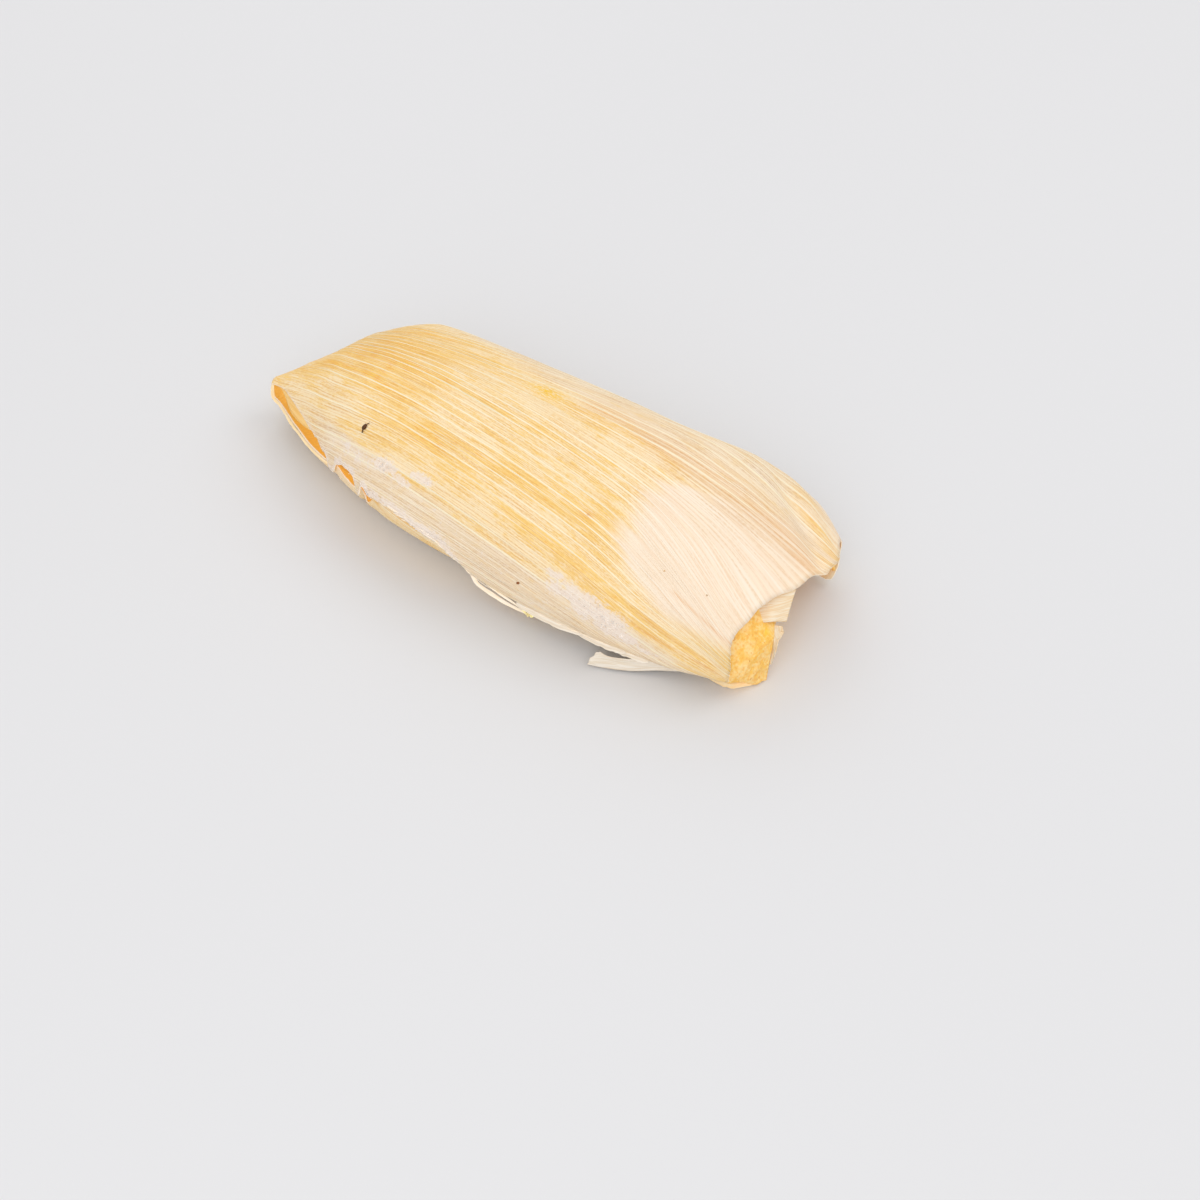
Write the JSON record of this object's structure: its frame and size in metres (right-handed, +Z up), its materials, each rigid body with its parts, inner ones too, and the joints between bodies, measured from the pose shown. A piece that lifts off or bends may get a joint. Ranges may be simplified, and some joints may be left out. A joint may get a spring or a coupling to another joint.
{
  "type": "tamale",
  "caption": "Steamed tamale lying in its corn husk, folded to a point at one end and open at the other, where yellow dough shows.",
  "frame": {"origin": "on the resting plane, under the middle of the tamale's whole box", "axes": "+X along the tamale from its folded tip to its open end, +Y away from its torn front edge, +Z up"},
  "size_m": [0.144, 0.0685, 0.0315],
  "materials": {
    "husk_cream": "ribbed dry leaf, damp and slightly see-through",
    "husk_pale": "ribbed dry leaf",
    "husk_straw": "ribbed dry leaf, matte",
    "corn_dough": "grainy and moist"
  },
  "bodies": {
    "root": {"husk": "husk_cream", "inner_husk": "husk_pale", "dough": "corn_dough", "inner_flap": "husk_straw", "end_lip": "husk_straw", "torn_strip": "husk_pale"}
  },
  "joints": []
}
